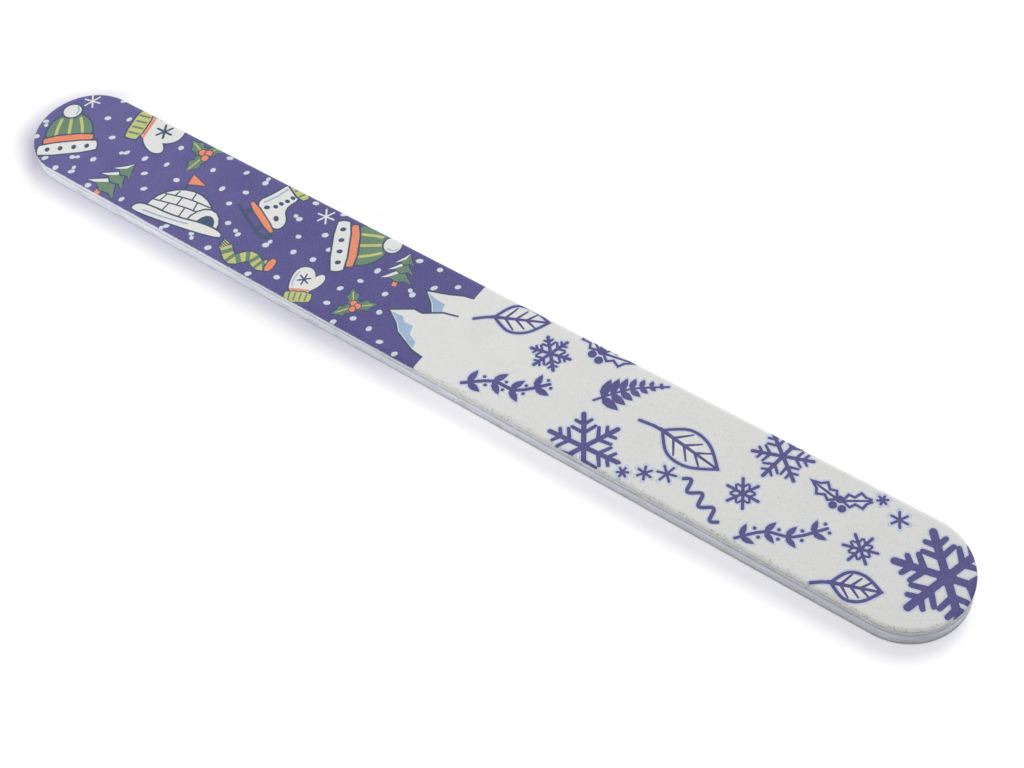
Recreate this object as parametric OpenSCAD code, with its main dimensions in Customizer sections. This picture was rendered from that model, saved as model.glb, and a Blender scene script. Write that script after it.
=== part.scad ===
// Cushioned emery board: a flat nail file with straight sides and full-round ends.
// Eleven layers are glued into one laminate and die-cut to the outline in one stroke:
// grit, paper, glue, foam, glue, core, glue, foam, glue, paper, grit.
// The file lies flat, long axis on X, with its printed face up and its origin
// at the centre of the underside.

/* [Outline] */
// Overall length, tip to tip
file_length = 178; // [100:1:240]
// Width between the parallel sides
file_width = 18.8; // [12:0.2:30]

/* [Core] */
// Thickness of the stiff plastic core
core_thickness = 1.25; // [0.6:0.05:3]
// Thickness of the glue film on each face of the core
core_glue = 0.1; // [0.05:0.01:0.2]

/* [Cushions] */
// Thickness of each foam cushion
foam_thickness = 0.7; // [0.5:0.05:2]
// Thickness of the glue film under each abrasive paper
paper_glue = 0.1; // [0.05:0.01:0.2]

/* [Abrasive papers] */
// Thickness of each paper backing
paper_thickness = 0.25; // [0.15:0.01:0.5]
// Thickness of the resin and grit on each paper
grit_coat = 0.1; // [0.05:0.01:0.25]

/* [Die-cut edge] */
// How far the die draws the upper paper down at the edge
shoulder_draw = 0.3; // [0.05:0.01:0.4]
// Width of the shoulder that it draws into the upper face
shoulder_width = 0.7; // [0.5:0.05:1.5]
// How far the glue films stand back from the cut, and the foam swells past them
glue_setback = 0.08; // [0.03:0.01:0.2]

/* [Hidden] */
NODES = [
    "bottom_grit_coat",
    "bottom_abrasive_paper",
    "bottom_paper_glue",
    "bottom_foam_cushion",
    "bottom_core_glue",
    "core_board",
    "top_core_glue",
    "top_foam_cushion",
    "top_paper_glue",
    "top_printed_paper",
    "top_grit_coat",
];
$fn = 96;

half_width = file_width / 2;
straight_length = file_length - file_width;

// Steps along the drawn shoulder and across each swollen foam edge
shoulder_steps = 6;
swell_steps = 8;

// Layer thicknesses from the underside up, in the order of NODES
stack = [
    grit_coat, paper_thickness, paper_glue, foam_thickness, core_glue,
    core_thickness,
    core_glue, foam_thickness, paper_glue, paper_thickness, grit_coat,
];

// Place of a layer in the stack. Layer i lies between face i and face i + 1,
// and face 0 is the underside of the file.
function place(name) = search([name], NODES)[0];

// The die comes down on the upper paper, so the faces from this one up follow
// the drawn shoulder. Those below lie flat, as the anvil holds them.
first_drawn_face = place("top_foam_cushion") + 1;

// Height of face i on the flat of the file
function level(i) = i == 0 ? 0 : level(i - 1) + stack[i - 1];

// Radius of the shoulder arc, level at its start and off by draw after a run of width
function arc_radius(width, draw) = (width * width + draw * draw) / (2 * draw);

// Drop of the shoulder at a distance x from the centre line
function shoulder_drop(x) =
    let (radius = arc_radius(shoulder_width, shoulder_draw), run = max(0, x - shoulder_start))
    radius - sqrt(radius * radius - run * run);

// Height of face i at a distance x from the centre line
function face_height(i, x) = level(i) - (i < first_drawn_face ? 0 : shoulder_drop(x));

// Distances from the centre line where the shoulder starts and where the glue ends
shoulder_start = half_width - shoulder_width;
glued_reach = half_width - glue_setback;

// Distances at which a face has points: flat ones need only their two ends
function stations(i) = i < first_drawn_face
    ? [0, glued_reach]
    : concat([0], [for (k = [0:shoulder_steps])
        shoulder_start + (glued_reach - shoulder_start) * k / shoulder_steps]);

// Face i as points, out to the glued reach or on to the cut edge
function face(i, to_cut) =
    [for (x = concat(stations(i), to_cut ? [half_width] : [])) [x, face_height(i, x)]];

function reversed(points) = [for (k = [len(points) - 1:-1:0]) points[k]];

// Points of a foam edge that swells from the glued reach out to the cut edge
function swell(low, high) =
    let (
        radius = arc_radius((high - low) / 2, glue_setback),
        sweep = asin((high - low) / 2 / radius)
    )
    [for (k = [1:swell_steps - 1])
        let (angle = sweep * (2 * k / swell_steps - 1))
        [half_width - radius * (1 - cos(angle)), (low + high) / 2 + radius * sin(angle)]];

// Half section of a layer whose edge is cut square
module cut_section(name) {
    i = place(name);
    polygon(concat(face(i, true), reversed(face(i + 1, true))));
}

// Half section of a glue film, short of the cut edge
module glue_section(name) {
    i = place(name);
    polygon(concat(face(i, false), reversed(face(i + 1, false))));
}

// Half section of a foam cushion with its swollen edge
module foam_section(name) {
    i = place(name);
    low = face_height(i, glued_reach);
    high = face_height(i + 1, glued_reach);
    polygon(concat(face(i, false), swell(low, high), reversed(face(i + 1, false))));
}

// One layer of the file: its half section run along both sides and round both ends
module layer() {
    rotate([90, 0, 90])
        linear_extrude(straight_length, center = true) {
            children();
            mirror([1, 0]) children();
        }
    for (side = [-1, 1])
        translate([side * straight_length / 2, 0, 0])
            rotate([0, 0, -90 * side])
                rotate_extrude(angle = 180) children();
}

module bottom_grit_coat() {
    color([0.92, 0.92, 0.93]) layer() cut_section("bottom_grit_coat");
}

module bottom_abrasive_paper() {
    color([0.86, 0.85, 0.84]) layer() cut_section("bottom_abrasive_paper");
}

module bottom_paper_glue() {
    color([0.45, 0.45, 0.5]) layer() glue_section("bottom_paper_glue");
}

module bottom_foam_cushion() {
    color([0.78, 0.8, 0.84]) layer() foam_section("bottom_foam_cushion");
}

module bottom_core_glue() {
    color([0.5, 0.5, 0.55]) layer() glue_section("bottom_core_glue");
}

module core_board() {
    color([0.9, 0.92, 0.97]) layer() cut_section("core_board");
}

module top_core_glue() {
    color([0.5, 0.5, 0.55]) layer() glue_section("top_core_glue");
}

module top_foam_cushion() {
    color([0.82, 0.83, 0.87]) layer() foam_section("top_foam_cushion");
}

module top_paper_glue() {
    color([0.5, 0.5, 0.55]) layer() glue_section("top_paper_glue");
}

module top_printed_paper() {
    color([0.41, 0.38, 0.58]) layer() cut_section("top_printed_paper");
}

module top_grit_coat() {
    color([0.93, 0.93, 0.92]) layer() cut_section("top_grit_coat");
}

bottom_grit_coat();
bottom_abrasive_paper();
bottom_paper_glue();
bottom_foam_cushion();
bottom_core_glue();
core_board();
top_core_glue();
top_foam_cushion();
top_paper_glue();
top_printed_paper();
top_grit_coat();
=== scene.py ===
import math
import random
import bmesh
import bpy
import numpy as np
from mathutils import Matrix, Vector, noise
from mathutils.geometry import delaunay_2d_cdt


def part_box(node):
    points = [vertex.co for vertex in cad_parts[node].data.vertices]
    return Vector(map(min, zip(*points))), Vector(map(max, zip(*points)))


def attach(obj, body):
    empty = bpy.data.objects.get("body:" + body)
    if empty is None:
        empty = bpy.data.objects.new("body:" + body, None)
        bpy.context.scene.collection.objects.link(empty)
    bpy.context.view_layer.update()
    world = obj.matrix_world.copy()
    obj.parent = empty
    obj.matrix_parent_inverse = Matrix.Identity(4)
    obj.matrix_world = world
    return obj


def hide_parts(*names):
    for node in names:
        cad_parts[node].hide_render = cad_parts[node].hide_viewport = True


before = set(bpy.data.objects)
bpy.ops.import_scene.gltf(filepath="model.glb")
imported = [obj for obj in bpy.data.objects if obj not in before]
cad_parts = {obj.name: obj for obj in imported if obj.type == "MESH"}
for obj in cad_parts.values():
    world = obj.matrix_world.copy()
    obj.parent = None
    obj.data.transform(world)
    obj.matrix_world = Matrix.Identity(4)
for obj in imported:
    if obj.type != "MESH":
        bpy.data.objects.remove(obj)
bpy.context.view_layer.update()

# Core board: the stiff strip of white polystyrene in the middle of the file. One stroke
# of a steel die cuts it with all the other sheets, so its edge is smooth and faintly
# scored from top to bottom. A foam sheet is glued to each of its faces.
MM = 0.001
OUTLINE_STEP = 0.35 * MM
CORNER_POINTS = 60
JUST_HALF = 0.49999
ROUGH_SPAN = (0.25, 0.75)
ROUGH_SWING = (-1.0, 0.6)
LEVEL_PART = 1.5 * MM
CUT_ZONE = 0.75 * MM
WELD = 0.002 * MM
DARKEST_AT = 0.34
PALEST_AT = 0.66
DULLING = 0.08
SHARP_FROM = math.radians(40)
half_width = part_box("core_board")[1][1]
file_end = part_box("core_board")[1][0]
spine_end = file_end - half_width


def srgb(*parts):
    """A colour as it is read off a picture, 0 to 255, as linear light."""
    shares = [part / 255 for part in parts]
    light = [share / 12.92 if share <= 0.04045 else ((share + 0.055) / 1.055) ** 2.4 for share in shares]
    return (*light, 1.0)


def add(tree, kind, feeds=None, **options):
    """Add a node, and feed its inputs with values or other nodes' outputs."""
    node = tree.nodes.new(kind)
    for option, choice in options.items():
        setattr(node, option, choice)
    for key, feed in (feeds or {}).items():
        if isinstance(feed, bpy.types.NodeSocket):
            tree.links.new(feed, node.inputs[key])
        else:
            node.inputs[key].default_value = feed
    return node


def reckon(tree, operation, first, second):
    """The outcome of one step of arithmetic."""
    return add(tree, "ShaderNodeMath", {0: first, 1: second}, operation=operation).outputs[0]


def graded(tree, value, start, end, low=0.0, high=1.0):
    """From low to high while a value goes from start to end."""
    return add(tree, "ShaderNodeMapRange", {
        "Value": value, "From Min": start, "From Max": end, "To Min": low, "To Max": high}).outputs[0]


def new_recipe(name, **sizes):
    """A geometry tree that takes a mesh and named sizes: the tree, its inputs and where it ends."""
    tree = bpy.data.node_groups.new(name, "GeometryNodeTree")
    tree.interface.new_socket("Geometry", in_out="INPUT", socket_type="NodeSocketGeometry")
    for label, kind in sizes.items():
        label = label.replace("_", " ")
        tree.interface.new_socket(label, in_out="INPUT", socket_type="NodeSocket" + kind)
    tree.interface.new_socket("Geometry", in_out="OUTPUT", socket_type="NodeSocketGeometry")
    return tree, tree.nodes.new("NodeGroupInput").outputs, tree.nodes.new("NodeGroupOutput").inputs[0]


def finish_recipe(tree, given, ending, shape):
    """End a tree in real faces of one material."""
    real = add(tree, "GeometryNodeRealizeInstances", {0: shape})
    dressed = add(tree, "GeometryNodeSetMaterial", {0: real.outputs[0], "Material": given["Material"]})
    tree.links.new(dressed.outputs[0], ending)
    return tree


def set_up(name, data):
    """Put a mesh, a lamp or a camera into the scene."""
    stand = bpy.data.objects.new(name, data)
    bpy.context.collection.objects.link(stand)
    return stand


def made_by(recipe, name, start, **sizes):
    """Run a recipe over a starting mesh, and keep what it makes as a plain piece."""
    holder = set_up(name + "_start", start)
    modifier = holder.modifiers.new("recipe", "NODES")
    modifier.node_group = recipe
    for socket in recipe.interface.items_tree:
        label = socket.name.replace(" ", "_")
        if socket.in_out == "INPUT" and label in sizes:
            modifier[socket.identifier] = sizes[label]
    bpy.context.view_layer.update()
    evaluated = holder.evaluated_get(bpy.context.evaluated_depsgraph_get())
    mesh = bpy.data.meshes.new_from_object(evaluated)
    mesh.name = name
    bpy.data.objects.remove(holder)
    shape = bmesh.new()
    shape.from_mesh(mesh)
    bmesh.ops.recalc_face_normals(shape, faces=shape.faces)
    shape.to_mesh(mesh)
    shape.free()
    return set_up(name, mesh)


def along_the_spine(tree, position):
    """The level way out from the file's spine at each point, and how far out it is."""
    parts = add(tree, "ShaderNodeSeparateXYZ", {0: position})
    held = add(tree, "ShaderNodeClamp", {"Value": parts.outputs["X"], "Min": -spine_end, "Max": spine_end})
    past = reckon(tree, "SUBTRACT", parts.outputs["X"], held.outputs[0])
    level = add(tree, "ShaderNodeCombineXYZ", {"X": past, "Y": parts.outputs["Y"]})
    reach = add(tree, "ShaderNodeVectorMath", {0: level.outputs[0]}, operation="LENGTH")
    way = add(tree, "ShaderNodeVectorMath", {0: level.outputs[0]}, operation="NORMALIZE")
    return way.outputs["Vector"], reach.outputs["Value"]


def cut_sheet_recipe():
    """Sweep the section of a cut edge round the file, close it above and below, and roughen the cut."""
    tree, given, ending = new_recipe(
        "cut_sheet", Length="Float", Width="Float", Low="Float", High="Float",
        Depth="Float", Grain="Float", Seed="Float", Material="Material")
    section = add(tree, "GeometryNodeMeshToCurve", {0: given["Geometry"]})
    sides = add(tree, "GeometryNodeCurvePrimitiveQuadrilateral", {
        "Width": given["Length"], "Height": given["Width"]})
    just_half = reckon(tree, "MULTIPLY", given["Width"], JUST_HALF)
    rounded = add(tree, "GeometryNodeFilletCurve", {
        "Curve": sides.outputs[0], "Count": CORNER_POINTS, "Radius": just_half}, mode="POLY")
    outline = add(tree, "GeometryNodeResampleCurve", {
        "Curve": rounded.outputs[0], "Length": OUTLINE_STEP}, mode="LENGTH")
    wall = add(tree, "GeometryNodeCurveToMesh", {
        "Curve": outline.outputs[0], "Profile Curve": section.outputs[0]})
    position = add(tree, "GeometryNodeInputPosition").outputs[0]
    height = add(tree, "ShaderNodeSeparateXYZ", {0: position}).outputs["Z"]
    neighbours = add(tree, "GeometryNodeInputMeshEdgeNeighbors").outputs[0]
    open_edge = add(tree, "FunctionNodeCompare", {2: neighbours, 3: 1}, data_type="INT", operation="EQUAL")
    middle = reckon(tree, "MULTIPLY", reckon(tree, "ADD", given["Low"], given["High"]), 0.5)
    shapes = [wall.outputs[0]]
    for label, test in (("Low", "LESS_THAN"), ("High", "GREATER_THAN")):
        side = add(tree, "FunctionNodeCompare", {0: height, 1: middle}, operation=test)
        rim = add(tree, "FunctionNodeBooleanMath", {0: side.outputs[0], 1: open_edge.outputs[0]})
        loop = add(tree, "GeometryNodeMeshToCurve", {0: wall.outputs[0], "Selection": rim.outputs[0]})
        face = add(tree, "GeometryNodeFillCurve", {0: loop.outputs[0]}, mode="NGONS")
        lift = add(tree, "ShaderNodeCombineXYZ", {"Z": given[label]})
        level = add(tree, "GeometryNodeTransform", {0: face.outputs[0], "Translation": lift.outputs[0]})
        shapes.append(level.outputs[0])
    joined = add(tree, "GeometryNodeJoinGeometry")
    for shape in shapes:
        tree.links.new(shape, joined.inputs[0])
    closed = add(tree, "GeometryNodeMergeByDistance", {0: joined.outputs[0], "Distance": WELD})
    way, reach = along_the_spine(tree, position)
    inner = reckon(tree, "SUBTRACT", reckon(tree, "MULTIPLY", given["Width"], 0.5), CUT_ZONE)
    at_edge = add(tree, "FunctionNodeCompare", {0: reach, 1: inner}, operation="GREATER_THAN")
    finer = reckon(tree, "DIVIDE", 1.0, given["Grain"])
    rough = add(tree, "ShaderNodeTexNoise", {
        "Vector": position, "W": given["Seed"], "Scale": finer, "Detail": 2.0}, noise_dimensions="4D")
    swing = graded(tree, rough.outputs[0], *ROUGH_SPAN, *ROUGH_SWING)
    push = reckon(tree, "MULTIPLY", swing, given["Depth"])
    offset = add(tree, "ShaderNodeVectorMath", {0: way, "Scale": push}, operation="SCALE")
    worn = add(tree, "GeometryNodeSetPosition", {
        0: closed.outputs[0], "Selection": at_edge.outputs[0], "Offset": offset.outputs["Vector"]})
    return finish_recipe(tree, given, ending, worn.outputs[0])


cut_sheet = cut_sheet_recipe()


def cut_rows(low, high, steps, swell):
    """The points up a cut, with the bulge that the die leaves in a soft sheet."""
    rows = []
    for k in range(steps + 1):
        share = k / steps
        rows.append((swell * (4 * share * (1 - share) - 1), low + (high - low) * share))
    return rows


def square_cut(node, steps, swell=0.0):
    """The edge of a flat sheet from its underside to its top."""
    low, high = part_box(node)[0][2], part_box(node)[1][2]
    return [(-LEVEL_PART, low)] + cut_rows(low, high, steps, swell) + [(-LEVEL_PART, high)]


def die_cut(name, rows, material, depth, grain, seed):
    """A closed sheet of the file's outline, its edge cut along rows of a way out and a height."""
    section = bpy.data.meshes.new("section")
    joins = [(k, k + 1) for k in range(len(rows) - 1)]
    section.from_pydata([(out, -height, 0) for out, height in rows], joins, [])
    return made_by(
        cut_sheet, name, section, Length=2 * file_end, Width=2 * half_width, Low=rows[0][1],
        High=rows[-1][1], Depth=depth, Grain=grain, Seed=seed, Material=material)


def new_material(name):
    """A node material, its tree, its shader and the place of each point in the file."""
    material = bpy.data.materials.new(name)
    material.use_nodes = True
    tree = material.node_tree
    place = tree.nodes.new("ShaderNodeTexCoord").outputs["Object"]
    return material, tree, tree.nodes["Principled BSDF"], place


def toned(tree, share, tones, darkest=DARKEST_AT, palest=PALEST_AT):
    """Tones from dark to light, spread evenly over the middle of a share."""
    ramp = add(tree, "ShaderNodeValToRGB", {"Fac": share})
    stops = ramp.color_ramp.elements
    stops[0].position, stops[0].color = darkest, srgb(*tones[0])
    stops[1].position, stops[1].color = palest, srgb(*tones[-1])
    for k, tone in enumerate(tones[1:-1]):
        stops.new(darkest + (palest - darkest) * (k + 1) / (len(tones) - 1)).color = srgb(*tone)
    return ramp.outputs[0]


def mottled(name, tones, grain, relief, roughness, stretch=(1, 1, 1),
            blotch=14, broad_share=0.3, strength=0.6, shine=0.5):
    """A matt surface in close tones, mottled and raised at the size of its grain."""
    material, tree, shader, place = new_material(name)
    mapped = add(tree, "ShaderNodeMapping", {"Vector": place, "Scale": stretch}).outputs[0]
    fine = add(tree, "ShaderNodeTexNoise", {"Vector": mapped, "Scale": 1 / grain, "Detail": 3.0}).outputs[0]
    broad = add(tree, "ShaderNodeTexNoise", {"Vector": place, "Scale": 1 / (grain * blotch)}).outputs[0]
    both = add(tree, "ShaderNodeMix", {0: broad_share, 2: fine, 3: broad}).outputs[0]
    tree.links.new(toned(tree, both, tones), shader.inputs["Base Color"])
    dull = graded(tree, fine, 0.3, 0.7, roughness + DULLING, roughness - DULLING)
    tree.links.new(dull, shader.inputs["Roughness"])
    shader.inputs["Specular IOR Level"].default_value = shine
    bump = add(tree, "ShaderNodeBump", {"Height": fine, "Strength": strength, "Distance": relief})
    tree.links.new(bump.outputs[0], shader.inputs["Normal"])
    return material


def settle(piece, slot, *nodes, smooth=True):
    """Put a finished piece on its body, in the place of these nodes. The slot is not used."""
    if smooth:
        piece.data.shade_smooth()
        piece.data.set_sharp_from_angle(angle=SHARP_FROM)
    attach(piece, "root")
    if nodes:
        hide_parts(*nodes)


core_plastic = mottled(
    "core_plastic", ((190, 195, 206), (212, 216, 225), (224, 227, 234)),
    0.42 * MM, 0.012 * MM, 0.45, stretch=(0.12, 0.12, 1))
core_strip = die_cut("core_strip", square_cut("core_board", 5), core_plastic, 0.015 * MM, 1.1 * MM, 1)
settle(core_strip, "core_plastic", "core_board")

# Core glue: the two clear films that hold the foam to the core board. They stay a little
# short of the cut, and their grey is painted shade, the thin shaded line of the gap there.
glue_line = mottled(
    "glue_line", ((98, 100, 108), (124, 127, 136), (154, 157, 165)), 0.35 * MM, 0.02 * MM, 0.5)


def dress(node, material):
    """Give a CAD node that stays in view its finish."""
    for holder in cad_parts[node].material_slots:
        holder.material = material


for film in ("bottom_core_glue", "top_core_glue"):
    dress(film, glue_line)

# Foam cushions: a thin sheet of white closed-cell foam on each side of the core. The die
# opens cells all along the cut, and the sheet bulges a little between its glued faces.
# The upper one is drawn down at its rim, where the die came through from above.
SHOULDER_WIDTH = 0.7 * MM
SHOULDER_DRAW = 0.3 * MM
FOAM_SWELL = 0.03 * MM
FOAM_STEPS = 6
shoulder_radius = (SHOULDER_WIDTH ** 2 + SHOULDER_DRAW ** 2) / (2 * SHOULDER_DRAW)


def shoulder_drop(out):
    """How far the upper sheets are drawn down this far out past the outline."""
    along = max(0.0, out + SHOULDER_WIDTH)
    return shoulder_radius - math.sqrt(max(0.0, shoulder_radius ** 2 - along ** 2))


def drawn_rows(height, steps=7):
    """The points of an upper sheet's face from its level part out to the rim."""
    points = [(-LEVEL_PART, height)]
    for k in range(steps + 1):
        out = -SHOULDER_WIDTH * (1 - k / steps)
        points.append((out, height - shoulder_drop(out)))
    return points


cushion_foam = mottled(
    "cushion_foam", ((162, 165, 175), (202, 205, 213), (218, 220, 227), (228, 230, 235)),
    0.16 * MM, 0.05 * MM, 0.85, strength=0.8, shine=0.3)
# The lower sheet has a lighter copy of the foam's tones: painted light against the shade on its lower edge.
lower_foam = mottled(
    "lower_foam", ((172, 175, 184), (211, 214, 221), (225, 227, 233), (234, 236, 240)),
    0.16 * MM, 0.05 * MM, 0.85, strength=0.8, shine=0.3)
bottom_foam = die_cut(
    "bottom_foam", square_cut("bottom_foam_cushion", FOAM_STEPS, FOAM_SWELL),
    lower_foam, 0.05 * MM, 0.22 * MM, 2)
settle(bottom_foam, "cushion_foam", "bottom_foam_cushion")
low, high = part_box("top_foam_cushion")[0][2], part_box("top_foam_cushion")[1][2]
top_rows = cut_rows(low, high - SHOULDER_DRAW, FOAM_STEPS, FOAM_SWELL)
top_foam = die_cut(
    "top_foam", [(-LEVEL_PART, low)] + top_rows + drawn_rows(high)[-2::-1],
    cushion_foam, 0.05 * MM, 0.22 * MM, 3)
settle(top_foam, "cushion_foam", "top_foam_cushion")

# Paper glue: the clear films between each foam sheet and the coated paper over it. The
# foam closes over them at the cut. Their grey is painted shade for the thin joint line there,
# paler than the painted shade at the core glue.
cleaner_line = mottled(
    "cleaner_line", ((138, 140, 148), (166, 169, 177), (190, 193, 200)), 0.35 * MM, 0.02 * MM, 0.5)
for film in ("bottom_paper_glue", "top_paper_glue"):
    dress(film, cleaner_line)

# Printed paper and backing paper: the stiff white sheets that carry the grit. Their cut
# edges are a thin fibrous line. The upper one follows the shoulder down at the rim.
PAPER_THICKNESS = 0.25 * MM
paper_edge = mottled(
    "paper_edge", ((196, 196, 200), (222, 222, 224), (236, 236, 236)),
    0.12 * MM, 0.02 * MM, 0.8, stretch=(1, 1, 2.5), shine=0.3)
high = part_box("top_printed_paper")[1][2]
printed_paper = die_cut(
    "printed_paper", drawn_rows(high - PAPER_THICKNESS) + drawn_rows(high)[::-1],
    paper_edge, 0.03 * MM, 0.3 * MM, 4)
settle(printed_paper, "printed_paper", "top_printed_paper")
# The backing paper's edge is toned darker than the printed paper's: painted shade at the bottom of the cut,
# next to the floor.
backing_edge = mottled(
    "backing_edge", ((182, 182, 188), (206, 206, 210), (220, 220, 222)),
    0.12 * MM, 0.02 * MM, 0.8, stretch=(1, 1, 2.5), shine=0.3)
backing_paper = die_cut(
    "backing_paper", square_cut("bottom_abrasive_paper", 2), backing_edge, 0.03 * MM, 0.3 * MM, 5)
settle(backing_paper, "backing_paper", "bottom_abrasive_paper")

# Lower grit: a white abrasive coat on the backing paper, with grains that stand out of
# the glue that holds them. Its rim has crumbled a little where the die came to rest.
GRAIN_WIDTH = 0.15 * MM
GRAIN_HEIGHT = 0.07 * MM
SMALLEST = (0.5, 0.5, 0.4)
LARGEST = (1.3, 1.3, 1.3)
GRAINS_PER_M2 = 7e6
FACING_ENOUGH = 0.6


def grit_recipe():
    """Strew grains over the faces that look one way, each a small pyramid half sunk in the coat."""
    tree, given, ending = new_recipe(
        "grit", Per_Area="Float", Width="Float", Height="Float", Facing="Vector",
        Seed="Int", Material="Material")
    normal = add(tree, "GeometryNodeInputNormal").outputs[0]
    toward = add(tree, "ShaderNodeVectorMath", {0: normal, 1: given["Facing"]}, operation="DOT_PRODUCT")
    outer = add(tree, "FunctionNodeCompare", {
        0: toward.outputs["Value"], 1: FACING_ENOUGH}, operation="GREATER_THAN")
    strewn = add(tree, "GeometryNodeDistributePointsOnFaces", {
        "Mesh": given["Geometry"], "Selection": outer.outputs[0],
        "Density": given["Per Area"], "Seed": given["Seed"]})
    radius = reckon(tree, "MULTIPLY", given["Width"], 0.5)
    grain = add(tree, "GeometryNodeMeshCone", {
        "Vertices": 3, "Radius Top": 0.0, "Radius Bottom": radius, "Depth": given["Height"]},
        fill_type="NGON")
    turn = add(tree, "FunctionNodeRandomValue", {
        0: (-0.5, -0.5, 0.0), 1: (0.5, 0.5, math.tau), "Seed": given["Seed"]}, data_type="FLOAT_VECTOR")
    size = add(tree, "FunctionNodeRandomValue", {
        0: SMALLEST, 1: LARGEST, "Seed": given["Seed"]}, data_type="FLOAT_VECTOR")
    turn = add(tree, "FunctionNodeEulerToRotation", {0: turn.outputs[0]})
    turned = add(tree, "FunctionNodeRotateRotation", {
        0: strewn.outputs["Rotation"], 1: turn.outputs[0]}, rotation_space="LOCAL")
    placed = add(tree, "GeometryNodeInstanceOnPoints", {
        "Points": strewn.outputs[0], "Instance": grain.outputs["Mesh"],
        "Rotation": turned.outputs[0], "Scale": size.outputs[0]})
    return finish_recipe(tree, given, ending, placed.outputs[0])


grit = grit_recipe()


def strew(name, coat, material, facing, seed, per_area=GRAINS_PER_M2, width=GRAIN_WIDTH):
    """Grains over the whole of one coat."""
    return made_by(
        grit, name, coat.data.copy(), Per_Area=per_area, Width=width, Height=GRAIN_HEIGHT,
        Facing=facing, Seed=seed, Material=material)


# The lower coat is toned darker than the white print above: painted shade at the bottom edge, next to the
# floor.
lower_coat = mottled(
    "lower_coat", ((178, 178, 178), (204, 204, 203), (220, 220, 219)),
    0.14 * MM, 0.03 * MM, 0.7, shine=0.4)
lower_grain = mottled("lower_grain", ((206, 206, 204), (238, 238, 236)), 0.3 * MM, 0.01 * MM, 0.5)
lower_grit_coat = die_cut(
    "lower_grit_coat", square_cut("bottom_grit_coat", 2), lower_coat, 0.06 * MM, 0.35 * MM, 6)
lower_grains = strew("lower_grains", lower_grit_coat, lower_grain, (0, 0, -1), 11)
settle(lower_grit_coat, "abrasive_coat", "bottom_grit_coat")
settle(lower_grains, "abrasive_coat", smooth=False)

# Printed face: clear grit over paper that is printed in two halves, one of winter things
# on purple under falling snow, one of purple ornaments on white. The print is cut here
# as it lies in the coat, each colour its own thin tile, and all tiles meet edge to edge.
SPINE = spine_end / MM
HALF = half_width / MM
FACE_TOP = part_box("top_grit_coat")[1][2] / MM
COAT = FACE_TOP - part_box("top_printed_paper")[1][2] / MM
WORN_RIM = 0.07
PURPLE_ENDS_AT = 0.7
BORDER_LEAN = 0.25
PAST_END = 95
PAST_SIDE = 12
OUTLINE = 0.3
HALO = 0.24


def ring_at(reach, step, ragged=0.0, grain=1.0):
    """A closed ring at one reach from the spine, wandering a little where it is ragged."""
    ring = []
    caps, straights = round(math.pi * reach / step), round(2 * SPINE / step)
    for side in (1, -1):
        for k in range(caps):
            angle = math.pi * (k / caps - side / 2)
            ring.append((side * SPINE, math.cos(angle), math.sin(angle)))
        for k in range(straights):
            ring.append((side * SPINE * (1 - 2 * k / straights), 0.0, float(side)))
    points = []
    for x, out_x, out_y in ring:
        place = Vector(((x + out_x * reach) / grain, out_y * reach / grain, 0.0))
        out = reach + ragged * (noise.noise(place) + 0.5 * noise.noise(place * 2.7))
        points.append((x + out_x * out, out_y * out))
    return points


def oval(x, y, wide, tall, turn=0.0, points=16):
    """A closed oval round a middle."""
    ring = []
    for k in range(points):
        along, up = wide * math.cos(math.tau * k / points), tall * math.sin(math.tau * k / points)
        ring.append((x + along * math.cos(turn) - up * math.sin(turn),
                     y + along * math.sin(turn) + up * math.cos(turn)))
    return ring


def rounded(corners, rounds=2):
    """A closed outline, its corners cut until it is smooth."""
    for _ in range(rounds):
        ring = []
        for k, (x, y) in enumerate(corners):
            next_x, next_y = corners[(k + 1) % len(corners)]
            ring.append((0.75 * x + 0.25 * next_x, 0.75 * y + 0.25 * next_y))
            ring.append((0.25 * x + 0.75 * next_x, 0.25 * y + 0.75 * next_y))
        corners = ring
    return corners


def grown(outline, margin):
    """A closed anticlockwise outline moved outwards by a margin."""
    ring = []
    for k, (x, y) in enumerate(outline):
        before, here, after = Vector(outline[k - 1]), Vector((x, y)), Vector(outline[(k + 1) % len(outline)])
        way_in, way_out = (here - before).normalized(), (after - here).normalized()
        out = Vector((way_in.y + way_out.y, -way_in.x - way_out.x))
        out = out.normalized() / max(0.6, out.length / 2)
        ring.append((x + out.x * margin, y + out.y * margin))
    return ring


def flowing(points, steps=5):
    """A smooth line through these points."""
    ends = [points[0]] + list(points) + [points[-1]]
    line = []
    for k in range(len(points) - 1):
        p0, p1, p2, p3 = (Vector(p) for p in ends[k:k + 4])
        for step in range(steps):
            t = step / steps
            line.append(0.5 * (2 * p1 + (p2 - p0) * t + (2 * p0 - 5 * p1 + 4 * p2 - p3) * t * t
                               + (3 * p1 - p0 - 3 * p2 + p3) * t ** 3))
    return [tuple(p) for p in line] + [tuple(points[-1])]


def stroke(ink, points, widths, round_ends=True):
    """A drawn line as a chain of small panels, with one width or one at each point."""
    if isinstance(widths, (int, float)):
        widths = [widths] * len(points)
    left, right = [], []
    for k, (x, y) in enumerate(points):
        before, after = Vector(points[max(0, k - 1)]), Vector(points[min(len(points) - 1, k + 1)])
        way = (after - before).normalized() * widths[k] / 2
        left.append((x - way.y, y + way.x))
        right.append((x + way.y, y - way.x))
    shapes = [(ink, [right[k], right[k + 1], left[k + 1], left[k]]) for k in range(len(points) - 1)]
    if round_ends:
        shapes += [(ink, oval(*points[k], widths[k] / 2, widths[k] / 2, points=10)) for k in (0, -1)]
    return shapes


def outlined(ink, outline, line=OUTLINE):
    """A shape of one ink with a drawn navy line round it."""
    return [("navy", grown(outline, line)), (ink, outline)]


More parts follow.
